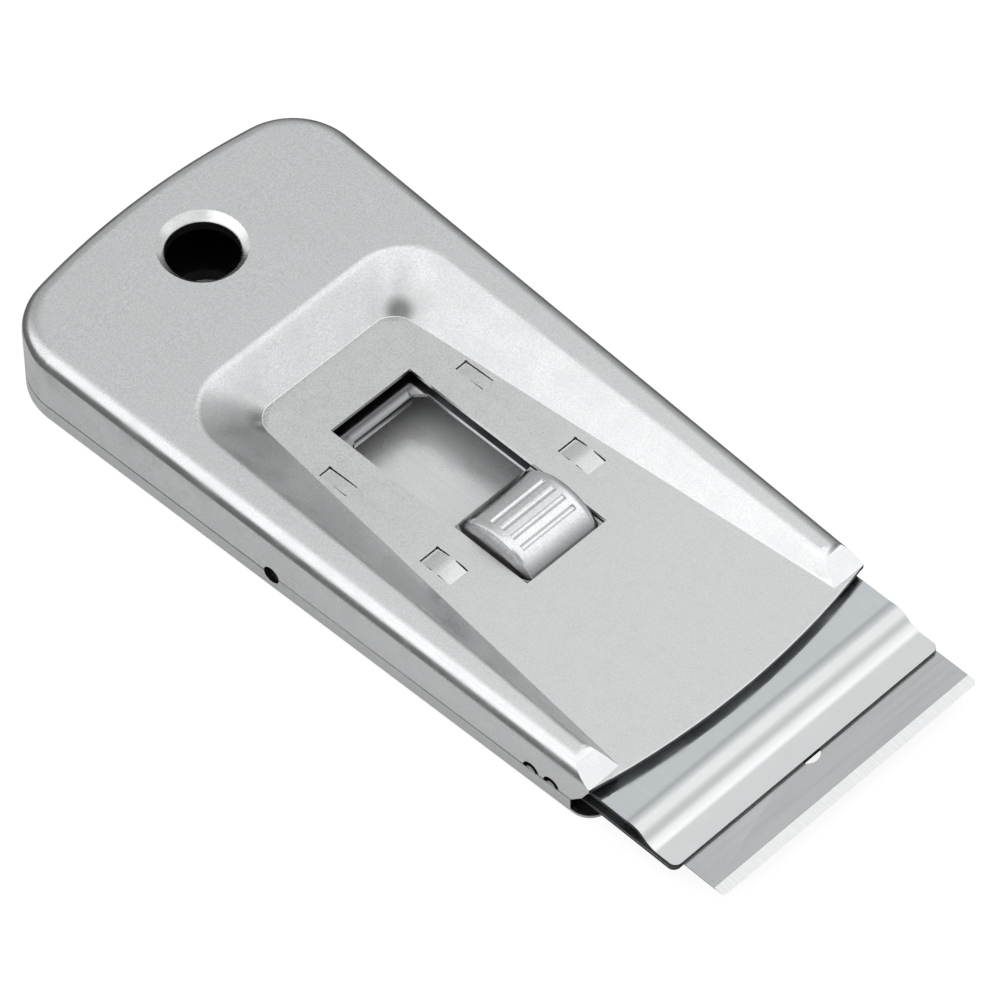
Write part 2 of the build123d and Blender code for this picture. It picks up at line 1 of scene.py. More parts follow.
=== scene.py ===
import logging
import math
from dataclasses import dataclass, field
from enum import Enum, IntEnum

import bmesh
import bpy
from mathutils import Matrix, Vector


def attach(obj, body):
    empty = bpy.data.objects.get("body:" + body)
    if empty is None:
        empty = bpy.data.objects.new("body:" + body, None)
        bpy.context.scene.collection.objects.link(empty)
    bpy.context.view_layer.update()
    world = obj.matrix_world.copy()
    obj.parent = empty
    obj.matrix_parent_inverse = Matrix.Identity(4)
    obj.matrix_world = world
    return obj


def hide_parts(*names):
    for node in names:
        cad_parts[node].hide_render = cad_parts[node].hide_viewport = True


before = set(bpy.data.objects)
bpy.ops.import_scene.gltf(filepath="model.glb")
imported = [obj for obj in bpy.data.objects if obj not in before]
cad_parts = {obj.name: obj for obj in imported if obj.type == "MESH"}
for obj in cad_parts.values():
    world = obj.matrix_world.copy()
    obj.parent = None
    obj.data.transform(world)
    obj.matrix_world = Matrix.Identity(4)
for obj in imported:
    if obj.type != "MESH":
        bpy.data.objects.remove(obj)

# Studio picture of a pressed-steel hob scraper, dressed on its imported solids
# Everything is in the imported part's frame: -Y to the blade, +Z up, metres

MM = 0.001
LOG = logging.getLogger("hob_scraper")

Span = tuple[float, float]
Triple = tuple[float, float, float]


class Group(str, Enum):
    """Names of the shader node groups that the finishes share."""

    GRAIN = "metal_grain"
    WEAR = "edge_wear"


class Body(str, Enum):
    """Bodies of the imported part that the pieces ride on."""

    HOUSING = "housing"
    SLIDE = "slide"
    BUTTON = "button"


class Axis(Enum):
    """Directions of the tool."""

    ALONG = "Y"
    UP = "Z"


class CoverZone(IntEnum):
    """Places of the cover's finishes in its list."""

    OUTSIDE = 0
    PANEL = 1
    INSIDE = 2
    # The lip's cut edge, in painted shade
    CUT_EDGE = 3
    # Painted shade in the joint between the shells and on the walls of the hanging hole
    PAINTED_SHADE = 4
    # Painted highlights on the creases, the lip, the cut edges and the hole's flare
    PAINTED_HIGHLIGHT = 5


class PanZone(IntEnum):
    """Places of the pan's finishes in its list."""

    OUTSIDE = 0
    INSIDE = 1
    # Painted shade in the joint between the shells
    PAINTED_SHADE = 2


def add_node(tree: bpy.types.NodeTree, kind: str, **settings) -> bpy.types.Node:
    """Adds a shader node and sets its plain properties.

    Args:
        tree: Node tree to add to.
        kind: Blender's name of the node type.
        **settings: Properties of the node and their values.

    Returns:
        The new node.
    """
    node = tree.nodes.new(kind)
    for key, value in settings.items():
        setattr(node, key, value)
    return node


def feed(tree: bpy.types.NodeTree, target: bpy.types.NodeSocket, value) -> None:
    """Gives an input what another socket puts out, or a constant.

    Args:
        tree: Node tree that holds both.
        target: Input socket.
        value: Output socket, number, vector or colour.
    """
    if isinstance(value, bpy.types.NodeSocket):
        tree.links.new(value, target)
    else:
        target.default_value = value


def math_node(tree: bpy.types.NodeTree, operation: str, first, second=0.0) -> bpy.types.NodeSocket:
    """Adds a Math node fed by sockets or numbers.

    Args:
        tree: Node tree to add to.
        operation: Name of the operation.
        first: Socket or number for the first input.
        second: Socket or number for the second input, if the operation has one.

    Returns:
        The node's output socket.
    """
    node = add_node(tree, "ShaderNodeMath", operation=operation)
    feed(tree, node.inputs[0], first)
    feed(tree, node.inputs[1], second)
    return node.outputs[0]


def smooth_step(tree: bpy.types.NodeTree, value, span: tuple, ends: Span) -> bpy.types.NodeSocket:
    """Maps a value by a smooth step.

    Args:
        tree: Node tree to add to.
        value: Socket to map.
        span: Where the step starts and ends, as numbers or sockets.
        ends: What it gives before and after.

    Returns:
        Socket with the mapped value.
    """
    node = add_node(tree, "ShaderNodeMapRange", interpolation_type="SMOOTHSTEP")
    labels = ("Value", "From Min", "From Max", "To Min", "To Max")
    for label, given in zip(labels, (value, *span, *ends)):
        feed(tree, node.inputs[label], given)
    return node.outputs["Result"]


def object_from(work: bmesh.types.BMesh, name: str) -> bpy.types.Object:
    """Makes a linked object of a mesh in work, which it frees.

    Args:
        work: The mesh in work.
        name: Name of the object and its mesh.

    Returns:
        The new object.
    """
    mesh = bpy.data.meshes.new(name)
    work.to_mesh(mesh)
    work.free()
    made = bpy.data.objects.new(name, mesh)
    bpy.context.scene.collection.objects.link(made)
    return made


def edge_turn(edge: bmesh.types.BMEdge) -> float:
    """Measures how far the surface turns at an edge.

    Args:
        edge: Edge of a mesh in work.

    Returns:
        The angle in radians, 0 where the edge hasn't two faces.
    """
    return edge.calc_face_angle(0.0) if len(edge.link_faces) == 2 else 0.0


def grey(value: float) -> Triple:
    """Gives a neutral tone.

    Args:
        value: Lightness from 0 to 1.

    Returns:
        The tone.
    """
    return (value, value, value)


@dataclass
class GroupBuilder:
    """Builds a shader node group that takes a vector and numbers, and gives values."""

    name: Group
    numbers: dict[str, float]
    results: tuple[str, ...]
    tree: bpy.types.NodeTree = field(init=False)
    start: bpy.types.Node = field(init=False)
    end: bpy.types.Node = field(init=False)

    def __post_init__(self) -> None:
        self.tree = bpy.data.node_groups.new(self.name.value, "ShaderNodeTree")
        sockets = self.tree.interface
        sockets.new_socket("Vector", in_out="INPUT", socket_type="NodeSocketVector")
        for label, number in self.numbers.items():
            socket = sockets.new_socket(label, in_out="INPUT", socket_type="NodeSocketFloat")
            socket.default_value = number
        for label in self.results:
            sockets.new_socket(label, in_out="OUTPUT", socket_type="NodeSocketFloat")
        self.start = add_node(self.tree, "NodeGroupInput")
        self.end = add_node(self.tree, "NodeGroupOutput")

    def taken(self, label: str) -> bpy.types.NodeSocket:
        """Gives what the group takes in under a name.

        Args:
            label: Name of the group's input.

        Returns:
            Socket inside the group.
        """
        return self.start.outputs[label]

    def noise(self, vector, scale, detail: float, roughness: float = 0.5) -> bpy.types.NodeSocket:
        """Adds a noise texture.

        Args:
            vector: Socket with the coordinates.
            scale: Socket or number for the scale.
            detail: How many finer layers it has.
            roughness: How strong the finer layers are.

        Returns:
            Socket with the noise.
        """
        node = add_node(self.tree, "ShaderNodeTexNoise", noise_dimensions="3D")
        given = {"Vector": vector, "Scale": scale, "Detail": detail, "Roughness": roughness}
        for label, value in given.items():
            feed(self.tree, node.inputs[label], value)
        return node.outputs["Fac"]

    def math(self, operation: str, first, second) -> bpy.types.NodeSocket:
        """Adds a Math node inside the group.

        Args:
            operation: Name of the operation.
            first: Socket or number for the first input.
            second: Socket or number for the second input.

        Returns:
            The node's output socket.
        """
        return math_node(self.tree, operation, first, second)

    def give(self, label: str, value: bpy.types.NodeSocket) -> None:
        """Puts a value out of the group.

        Args:
            label: Name of the group's output.
            value: Socket inside the group.
        """
        feed(self.tree, self.end.inputs[label], value)


def build_grain_group() -> None:
    """Grain of rolled sheet: speckle with long streaks, and soft mottle."""
    numbers = {
        "Speckle Scale": 4200.0, "Mottle Scale": 260.0, "Streak Length": 40.0, "Streak Scale": 1500.0,
        "Streak Share": 0.3,
    }
    group = GroupBuilder(Group.GRAIN, numbers, ("Grain", "Mottle"))
    vector, share = group.taken("Vector"), group.taken("Streak Share")
    speckle = group.noise(vector, group.taken("Speckle Scale"), detail=2.0, roughness=0.6)
    spread = add_node(group.tree, "ShaderNodeCombineXYZ")
    for axis, label in (("X", "Streak Scale"), ("Y", "Streak Length"), ("Z", "Streak Scale")):
        feed(group.tree, spread.inputs[axis], group.taken(label))
    stretched = add_node(group.tree, "ShaderNodeVectorMath", operation="MULTIPLY")
    feed(group.tree, stretched.inputs[0], vector)
    feed(group.tree, stretched.inputs[1], spread.outputs[0])
    streak = group.noise(stretched.outputs[0], 1.0, detail=4.0)
    streak_part = group.math("MULTIPLY", streak, share)
    speckle_part = group.math("MULTIPLY", speckle, group.math("SUBTRACT", 1.0, share))
    group.give("Grain", group.math("ADD", streak_part, speckle_part))
    group.give("Mottle", group.noise(vector, group.taken("Mottle Scale"), detail=3.0))


def build_wear_group() -> None:
    """Rubbed edges from the surface's pointiness, broken up by noise."""
    least_cover = 0.35
    group = GroupBuilder(Group.WEAR, {"Start": 0.52, "Full": 0.62, "Break-up Scale": 700.0}, ("Mask",))
    pointed = add_node(group.tree, "ShaderNodeNewGeometry").outputs["Pointiness"]
    rubbed = smooth_step(group.tree, pointed, (group.taken("Start"), group.taken("Full")), (0.0, 1.0))
    noise = group.noise(group.taken("Vector"), group.taken("Break-up Scale"), detail=3.0)
    group.give("Mask", group.math("MULTIPLY", rubbed, group.math("ADD", noise, least_cover)))


@dataclass(frozen=True)
class ToneBand:
    """Slow change of tone between two places on an axis, used for painted light and shade."""

    start: float
    full: float
    tone: Triple
    share: float = 1.0
    axis: Axis = Axis.ALONG


@dataclass(frozen=True)
class ToneSpot:
    """Soft spot of another tone round a place, with an even core, used for painted shade."""

    place: Triple
    radius: float
    tone: Triple
    share: float = 1.0
    core_share: float = 0.2


@dataclass(frozen=True)
class SteelFinish:
    """Look of one steel surface, with what the shared groups need."""

    name: str
    tone: Triple
    dark_tone: Triple
    roughness: float = 0.32
    roughness_spread: float = 0.08
    speckle_scale: float = 4200.0
    mottle_scale: float = 260.0
    streak_length: float = 40.0
    streak_scale: float = 1500.0
    streak_share: float = 0.3
    grain_depth: float = 0.004 * MM
    wear: float = 0.5
    worn_gain: float = 1.15
    mottle_share: float = 0.22
    metallic: float = 1.0
    bands: tuple[ToneBand, ...] = ()
    spots: tuple[ToneSpot, ...] = ()
    grain_span: Span = (0.35, 0.65)
    mottle_span: Span = (0.3, 0.7)
    rough_span: Span = (0.25, 0.75)

    def build(self) -> bpy.types.Material:
        """Builds the material, once for all the pieces that wear it.

        Returns:
            The finished material.
        """
        if self.name in bpy.data.materials:
            return bpy.data.materials[self.name]
        material = bpy.data.materials.new(self.name)
        material.use_nodes = True
        tree = material.node_tree
        tree.nodes.clear()
        output = add_node(tree, "ShaderNodeOutputMaterial")
        shader = add_node(tree, "ShaderNodeBsdfPrincipled")
        vector = add_node(tree, "ShaderNodeTexCoord").outputs["Object"]
        grain = self.group_node(
            tree, Group.GRAIN, vector, Speckle_Scale=self.speckle_scale, Mottle_Scale=self.mottle_scale,
            Streak_Length=self.streak_length, Streak_Scale=self.streak_scale, Streak_Share=self.streak_share,
        )
        ends = (self.roughness - self.roughness_spread, self.roughness + self.roughness_spread)
        rough = smooth_step(tree, grain.outputs["Mottle"], self.rough_span, ends)
        bump = add_node(tree, "ShaderNodeBump")
        feed(tree, bump.inputs["Strength"], 1.0)
        feed(tree, bump.inputs["Distance"], self.grain_depth)
        feed(tree, bump.inputs["Height"], grain.outputs["Grain"])
        feed(tree, shader.inputs["Metallic"], self.metallic)
        feed(tree, shader.inputs["Base Color"], self.coloured(tree, vector, grain))
        feed(tree, shader.inputs["Roughness"], rough)
        feed(tree, shader.inputs["Normal"], bump.outputs["Normal"])
        feed(tree, output.inputs["Surface"], shader.outputs["BSDF"])
        return material

    def coloured(self, tree: bpy.types.NodeTree, vector, grain: bpy.types.Node) -> bpy.types.NodeSocket:
        """Lays the tones over each other: grain, mottling, the bands and spots of painted light and shade,
        and rubbed edges.

        Args:
            tree: The material's node tree.
            vector: Socket with the coordinates.
            grain: The grain group's node.

        Returns:
            Socket with the colour.
        """
        grained = smooth_step(tree, grain.outputs["Grain"], self.grain_span, (0.0, 1.0))
        colour = self.mixed(tree, grained, self.dark_tone, self.tone)
        mottled = smooth_step(tree, grain.outputs["Mottle"], self.mottle_span, (0.0, self.mottle_share))
        colour = self.mixed(tree, mottled, colour, self.dark_tone)
        split = add_node(tree, "ShaderNodeSeparateXYZ")
        feed(tree, split.inputs[0], vector)
        for band in self.bands:
            place = split.outputs[band.axis.value]
            share = smooth_step(tree, place, (band.start, band.full), (0.0, band.share))
            colour = self.mixed(tree, share, colour, band.tone)
        for spot in self.spots:
            distance = add_node(tree, "ShaderNodeVectorMath", operation="DISTANCE")
            feed(tree, distance.inputs[0], vector)
            feed(tree, distance.inputs[1], spot.place)
            span = (spot.radius, spot.radius * spot.core_share)
            share = smooth_step(tree, distance.outputs["Value"], span, (0.0, spot.share))
            colour = self.mixed(tree, share, colour, spot.tone)
        rubbed = self.group_node(tree, Group.WEAR, vector).outputs["Mask"]
        bright = tuple(min(1.0, value * self.worn_gain) for value in self.tone)
        return self.mixed(tree, math_node(tree, "MULTIPLY", rubbed, self.wear), colour, bright)

    @staticmethod
    def group_node(tree: bpy.types.NodeTree, group: Group, vector, **values) -> bpy.types.Node:
        """Places a shared group in the material.

        Args:
            tree: The material's node tree.
            group: Which shared group.
            vector: Socket with the coordinates.
            **values: Input names, with _ for a space, and their numbers.

        Returns:
            The group node.
        """
        node = add_node(tree, "ShaderNodeGroup", node_tree=bpy.data.node_groups[group.value])
        feed(tree, node.inputs["Vector"], vector)
        for label, value in values.items():
            feed(tree, node.inputs[label.replace("_", " ")], value)
        return node

    @staticmethod
    def mixed(tree: bpy.types.NodeTree, factor, first, second) -> bpy.types.NodeSocket:
        """Mixes two colours.

        Args:
            tree: The material's node tree.
            factor: Socket that says how much of the second shows.
            first: Socket or colour.
            second: Socket or colour.

        Returns:
            Socket with the mixed colour.
        """
        node = add_node(tree, "ShaderNodeMix", data_type="RGBA")
        feed(tree, node.inputs["Factor"], factor)
        for label, colour in (("A", first), ("B", second)):
            target = next(socket for socket in node.inputs if socket.name == label and socket.type == "RGBA")
            feed(tree, target, (*colour, 1.0) if isinstance(colour, tuple) else colour)
        return next(socket for socket in node.outputs if socket.type == "RGBA")


@dataclass
class SheetPiece:
    """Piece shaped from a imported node's mesh, with softened edges."""

    node: str
    body: Body
    slot: str
    finishes: tuple[SteelFinish, ...]
    edge_radius: float = 0.06 * MM
    edge_angle: float = math.radians(32.0)
    zone_angle: float = math.radians(2.0)
    edge_segments: int = 2
    edge_clamped: bool = False
    flat_weight: int = 60
    weld_reach: float = 0.002 * MM
    sliver_reach: float = 0.001 * MM
    wall_tilt: float = 0.3

    def mesh_copy(self) -> bmesh.types.BMesh:
        """Copies the node's mesh and joins its loose triangles.

        Returns:
            A mesh in work, which the caller frees.
        """
        work = bmesh.new()
        work.from_mesh(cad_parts[self.node].data)
        bmesh.ops.remove_doubles(work, verts=work.verts, dist=self.weld_reach)
        bmesh.ops.dissolve_degenerate(work, dist=self.sliver_reach, edges=work.edges)
        return work

    def shape(self, work: bmesh.types.BMesh) -> None:
        """Changes the copied mesh; a plain sheet needs nothing.

        Args:
            work: The mesh in work.
        """

    def zone(self, face: bmesh.types.BMFace) -> int:
        """Says which of the piece's finishes a face wears.

        Args:
            face: Face of the mesh in work.

        Returns:
            Place of the finish in the piece's list.
        """
        return 0

    def is_wall(self, face: bmesh.types.BMFace) -> bool:
        """Tells whether a face stands upright.

        Args:
            face: Face of the mesh in work.

        Returns:
            True for such a face.
        """
        return abs(face.normal.z) < self.wall_tilt

    def rounded(self, work: bmesh.types.BMesh, edges: list, width: float, segments: int) -> list:
        """Rounds chosen edges of the mesh in work.

        Args:
            work: The mesh in work.
            edges: Edges to round.
            width: How far the rounding reaches on each side, in metres.
            segments: Steps across the rounding.

        Returns:
            The new faces.
        """
        result = bmesh.ops.bevel(
            work, geom=edges, offset=width, offset_type="OFFSET", affect="EDGES", segments=segments,
            profile=0.5, material=-1, clamp_overlap=True,
        )
        return result["faces"]

    def build(self) -> bpy.types.Object:
        """Builds the piece, dresses it and lets it ride on its body.

        Returns:
            The finished object.
        """
        work = self.mesh_copy()
        work.normal_update()
        for face in work.faces:
            face.material_index = self.zone(face)
        self.shape(work)
        for face in work.faces:
            face.smooth = True
        for edge in work.edges:
            zones = {face.material_index for face in edge.link_faces}
            edge.smooth = edge_turn(edge) < (self.edge_angle if len(zones) == 1 else self.zone_angle)
        piece = object_from(work, f"{self.node}_shown")
        mesh = piece.data
        if "custom_normal" in mesh.attributes:
            mesh.attributes.remove(mesh.attributes["custom_normal"])
        self.soften(piece)
        for finish in self.finishes:
            mesh.materials.append(finish.build())
        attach(piece, self.body.value)
        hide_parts(self.node)
        LOG.info("%s: %d faces", piece.name, len(mesh.polygons))
        return piece

    def soften(self, piece: bpy.types.Object) -> None:
        """Rounds the sharp edges a little, so that they catch the light.

        Args:
            piece: Object that gets the modifiers.
        """
        bevel = piece.modifiers.new("edge_round", "BEVEL")
        bevel.width = self.edge_radius
        bevel.segments = self.edge_segments
        bevel.limit_method = "ANGLE"
        bevel.angle_limit = self.edge_angle
        bevel.use_clamp_overlap = self.edge_clamped
        bevel.harden_normals = False
        weighted = piece.modifiers.new("flat_faces_lead", "WEIGHTED_NORMAL")
        weighted.keep_sharp = True
        weighted.weight = self.flat_weight


@dataclass
class HousingShell(SheetPiece):
    """Half of the housing, with a dull inside and painted shade in the joint round its edge."""

    edge_clamped: bool = True
    hole_y: float = 44.6 * MM
    seam_height: float = 2.55 * MM
    seam_width: float = 0.2 * MM
    seam_front_y: float = -40.0 * MM
    seam_turn: float = math.radians(60.0)
    seam_margin: float = 0.01 * MM
    seam_side_margin: float = 0.2 * MM
    seam_rear_reach: float = 49.0 * MM
    seam_rear_facing: float = 0.5
    side_front_x: float = 21.6 * MM
    side_rear_x: float = 24.1 * MM
    side_front_y: float = -37.35 * MM
    side_rear_y: float = 52.65 * MM
    side_strip_x: float = 19.0 * MM
    side_facing: float = 0.5
    length_share: float = 0.3

    def half_width(self, y: float) -> float:
        """Half width of the housing.

        Args:
            y: Place along the tool, in metres.

        Returns:
            The half width there, in metres.
        """
        share = (y - self.side_front_y) / (self.side_rear_y - self.side_front_y)
        return self.side_front_x + (self.side_rear_x - self.side_front_x) * share

    def off_hole(self, place: Vector) -> float:
        """Distance of a place from the axis of the hanging hole.

        Args:
            place: The place.

        Returns:
            The distance, in metres.
        """
        return math.hypot(place.x, place.y - self.hole_y)

    def faces_inward(self, middle: Vector, normal: Vector) -> bool:
        """Tells whether a face looks to the middle of the housing.

        Args:
            middle: Middle of the face.
            normal: Way that the face looks.

        Returns:
            True for such a face.
        """
        return Vector((middle.x, middle.y * self.length_share)).dot(normal.xy) < 0

    def in_side_edge(self, middle: Vector, normal: Vector) -> bool:
        """Tells whether a face lies out at the sides and doesn't look sideways.

        Args:
            middle: Middle of the face.
            normal: Way that the face looks.

        Returns:
            True for such a face.
        """
        return abs(middle.x) > self.side_strip_x and abs(normal.x) < self.side_facing

    def seam_edges(self, work: bmesh.types.BMesh) -> list:
        """Finds the outer edges that lie in the joint between the shells.

        Args:
            work: The mesh in work.

        Returns:
            The edges.
        """
        found = []
        for edge in work.edges:
            level = all(abs(vert.co.z - self.seam_height) < self.seam_margin for vert in edge.verts)
            if not level or edge_turn(edge) < self.seam_turn:
                continue
            middle = (edge.verts[0].co + edge.verts[1].co) / 2
            if middle.y < self.seam_front_y:
                continue
            beside = abs(middle.x) > self.half_width(middle.y) - self.seam_side_margin
            behind = math.hypot(middle.x, middle.y) > self.seam_rear_reach and middle.y > 0
            limit = self.seam_rear_facing * middle.length
            if beside or behind and any(face.normal.dot(middle) > limit for face in edge.link_faces):
                found.append(edge)
        return found


@dataclass
class TopCover(HousingShell):
    """Drawn cover with the sunk panel, the marks and the flared hanging hole."""

    edge_radius: float = 0.03 * MM
    edge_angle: float = math.radians(50.0)
    mouth_radius: float = 5.33 * MM
    throat_radius: float = 4.35 * MM
    throat_margin: float = 0.04 * MM
    throat_bottom: float = 9.3 * MM
    throat_turn: float = math.radians(20.0)
    throat_rounding: float = 0.25 * MM
    crease_turn: float = math.radians(15.0)
    crease_facing: float = 0.3
    crease_width: float = 0.14 * MM
    panel_height: float = 6.7 * MM
    panel_margin: float = 0.02 * MM
    panel_facing: float = 0.98
    cut_tilt: float = 0.2
    cut_room_x: float = 13.0 * MM
    cut_room_y: float = 30.0 * MM
    slant: float = 0.15
    rear_wall_y: float = 52.0 * MM
    lip_depth: float = 1.0 * MM
    lip_facing: float = 0.7
    lip_rounding: float = 0.1 * MM
    lip_half_width: float = 19.0 * MM
    joint_top: float = 4.2 * MM

    def zone(self, face: bmesh.types.BMFace) -> int:
        """Tells outside, panel, dull inside, the cut edge and the joint in painted shade, and the edges with
        painted highlights apart.

        Args:
            face: Face of the mesh in work.

        Returns:
            The face's zone.
        """
        middle, normal = face.calc_center_median(), face.normal
        # Painted highlight on the flare of the hanging hole, painted shade on the hole's walls
        if self.off_hole(middle) < self.mouth_radius and middle.z > self.panel_height:
            return CoverZone.PAINTED_HIGHLIGHT if normal.z > self.slant else CoverZone.PAINTED_SHADE
        # Painted shade on the cover's edge where it meets the pan
        if middle.z < self.joint_top and self.in_side_edge(middle, normal):
            return CoverZone.PAINTED_SHADE
        if normal.z < -self.slant:
            return CoverZone.INSIDE
        at_outer_wall = abs(middle.x) > self.side_strip_x or middle.y > self.rear_wall_y
        if self.is_wall(face) and self.faces_inward(middle, normal) and at_outer_wall:
            return CoverZone.INSIDE
        # Painted shade on the lip's cut edge
        if normal.y < -self.lip_facing and middle.y < self.side_front_y + self.lip_depth:
            return CoverZone.CUT_EDGE
        # Painted highlight on the cut edges of the window and the marks
        in_cut_room = abs(middle.x) < self.cut_room_x and middle.y < self.cut_room_y
        if abs(normal.z) < self.cut_tilt and middle.z < self.panel_height and in_cut_room:
            return CoverZone.PAINTED_HIGHLIGHT
        if normal.z > self.panel_facing and middle.z < self.panel_height + self.panel_margin:
            return CoverZone.PANEL
        return CoverZone.OUTSIDE

    def shape(self, work: bmesh.types.BMesh) -> None:
        """Rounds the throat of the hanging hole, the creases, the lip's edge and the seam, and gives the
        creases and the lip a painted highlight and the seam a painted shade.

        Args:
            work: The mesh in work.
        """
        throat = [edge for edge in work.edges if self.rings_throat(edge)]
        self.rounded(work, throat, self.throat_rounding, 4)
        crease = [edge for edge in work.edges if self.is_crease(edge)]
        # Painted highlight along the creases and the lip
        for face in self.rounded(work, crease, self.crease_width, 2):
            face.material_index = CoverZone.PAINTED_HIGHLIGHT
        lip = [edge for edge in work.edges if self.is_lip(edge)]
        for face in self.rounded(work, lip, self.lip_rounding, 2):
            face.material_index = CoverZone.PAINTED_HIGHLIGHT
        # Painted shade in the seam
        for face in self.rounded(work, self.seam_edges(work), self.seam_width, 1):
            face.material_index = CoverZone.PAINTED_SHADE

    def is_crease(self, edge: bmesh.types.BMEdge) -> bool:
        """Tells whether an edge lies where the slopes meet the panel.

        Args:
            edge: Edge of the mesh in work.

        Returns:
            True for such an edge.
        """
        if edge.is_convex or edge_turn(edge) < self.crease_turn:
            return False
        level = all(abs(vert.co.z - self.panel_height) < self.panel_margin for vert in edge.verts)
        return level and all(face.normal.z > self.crease_facing for face in edge.link_faces)

    def is_lip(self, edge: bmesh.types.BMEdge) -> bool:
        """Tells whether an edge lies between the panel and the lip's cut edge.

        Args:
            edge: Edge of the mesh in work.

        Returns:
            True for such an edge.
        """
        zones = {face.material_index for face in edge.link_faces}
        inside = all(abs(vert.co.x) < self.lip_half_width for vert in edge.verts)
        return zones == {CoverZone.PANEL, CoverZone.CUT_EDGE} and inside

    def rings_throat(self, edge: bmesh.types.BMEdge) -> bool:
        """Tells whether an edge runs round the narrow end of the hole's flare.

        Args:
            edge: Edge of the mesh in work.

        Returns:
            True for such an edge.
        """
        if edge_turn(edge) < self.throat_turn:
            return False
        radii = [self.off_hole(vert.co) for vert in edge.verts]
        near = all(abs(radius - self.throat_radius) < self.throat_margin for radius in radii)
        return near and all(vert.co.z > self.throat_bottom for vert in edge.verts)


@dataclass
class BasePan(HousingShell):
    """Shallow pan with a rounded bottom rim and a dull inside."""

    seam_front_y: float = -29.5 * MM
    joint_bottom: float = 1.2 * MM
    joint_rear_y: float = 40.0 * MM
    collar_radius: float = 4.6 * MM
    bottom_bevel: float = 0.5 * MM
    bottom_rounding: float = 0.22 * MM
    rim_margin: float = 0.005 * MM
    rim_least_turn: float = math.radians(30.0)
    rim_most_turn: float = math.radians(60.0)
    floor_height: float = 0.5 * MM
    inside_height: float = 0.3 * MM
    inside_facing: float = 0.5

    def zone(self, face: bmesh.types.BMFace) -> int:
        """Tells outside, dull inside and the joint in painted shade apart.

        Args:
            face: Face of the mesh in work.

        Returns:
            The face's zone.
        """
        middle, normal = face.calc_center_median(), face.normal
        # Painted shade on the pan's edge under the cover
        at_joint = middle.z > self.joint_bottom and middle.y < self.joint_rear_y
        if at_joint and self.in_side_edge(middle, normal):
            return PanZone.PAINTED_SHADE
        on_floor = normal.z > self.inside_facing and middle.z > self.inside_height
        # The hole's collar wears the inside finish, whose rear part is painted shade
        if on_floor or self.off_hole(middle) < self.collar_radius:
            return PanZone.INSIDE
        in_wall = self.is_wall(face) and self.faces_inward(middle, normal)
        return PanZone.INSIDE if in_wall and middle.z > self.floor_height else PanZone.OUTSIDE

    def shape(self, work: bmesh.types.BMesh) -> None:
        """Rounds the bottom rim and opens the joint a little, with painted shade in it.

        Args:
            work: The mesh in work.
        """
        rim = [edge for edge in work.edges if self.is_rim(edge)]
        self.rounded(work, rim, self.bottom_rounding, 3)
        for face in self.rounded(work, self.seam_edges(work), self.seam_width, 1):
            face.material_index = PanZone.PAINTED_SHADE

    def is_rim(self, edge: bmesh.types.BMEdge) -> bool:
        """Tells whether an edge bounds the bevel round the bottom.

        Args:
            edge: Edge of the mesh in work.

        Returns:
            True for such an edge.
        """
        level = any(
            all(abs(vert.co.z - height) < self.rim_margin for vert in edge.verts)
            for height in (0.0, self.bottom_bevel)
        )
        return level and self.rim_least_turn < edge_turn(edge) < self.rim_most_turn


@dataclass
class SlidingSheet(SheetPiece):
    """Carrier or clamp plate, with painted shade on its sheared edges."""

    edge_radius: float = 0.02 * MM
    opening_half_width: float = 6.0 * MM
    opening_front_y: float = -5.0 * MM

    def zone(self, face: bmesh.types.BMFace) -> int:
        """Tells the rolled faces from the sheared edges.

        Args:
            face: Face of the mesh in work.

        Returns:
            0 rolled face, 1 sheared edge in painted shade.
        """
        middle = face.calc_center_median()
        in_opening = abs(middle.x) < self.opening_half_width and middle.y > self.opening_front_y
        return 1 if self.is_wall(face) and not in_opening else 0


@dataclass
class ThumbKnob(SheetPiece):
    """Ribbed knob with rougher end faces in painted shade."""

    end_facing: float = 0.55

    def zone(self, face: bmesh.types.BMFace) -> int:
        """Tells the crown from the two end faces.

        Args:
            face: Face of the mesh in work.

        Returns:
            0 crown, 1 end face in painted shade.
        """
        return 1 if abs(face.normal.x) > self.end_facing else 0


@dataclass
class GroundBlade(SheetPiece):
    """Blade with its ground edge."""

    edge_radius: float = 0.015 * MM
    flat_front_y: float = -54.35 * MM

    def zone(self, face: bmesh.types.BMFace) -> int:
        """Tells the flat faces from the ground bevel.

        Args:
            face: Face of the mesh in work.

        Returns:
            0 flat, 1 ground.
        """
        return 1 if face.calc_center_median().y < self.flat_front_y else 0


